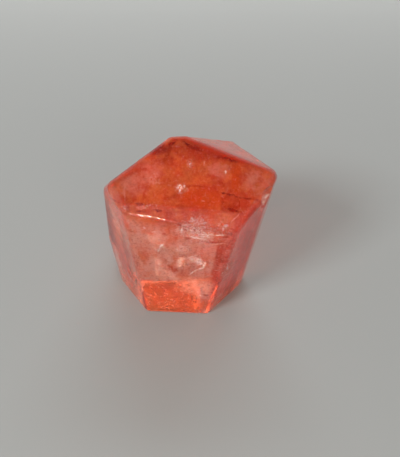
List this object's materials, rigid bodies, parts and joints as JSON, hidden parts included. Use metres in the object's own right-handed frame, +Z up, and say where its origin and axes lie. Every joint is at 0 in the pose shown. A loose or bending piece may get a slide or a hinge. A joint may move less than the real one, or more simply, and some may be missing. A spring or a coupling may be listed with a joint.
{
  "type": "hematoid quartz point",
  "caption": "Short polished quartz crystal with a large slanted tip facet, rounded edges and a flat base, stained red and orange inside; stands on its base as an ornament.",
  "frame": {"origin": "on the ground under the middle of the crystal's bounding box", "axes": "+Z up out of the flat base, -Y towards the side that the large tip facet faces, +X to the right seen from there"},
  "size_m": [0.031, 0.0262, 0.0378],
  "materials": {
    "quartz": "polished, translucent"
  },
  "bodies": {
    "root": {"quartz_point": "quartz"}
  },
  "joints": []
}
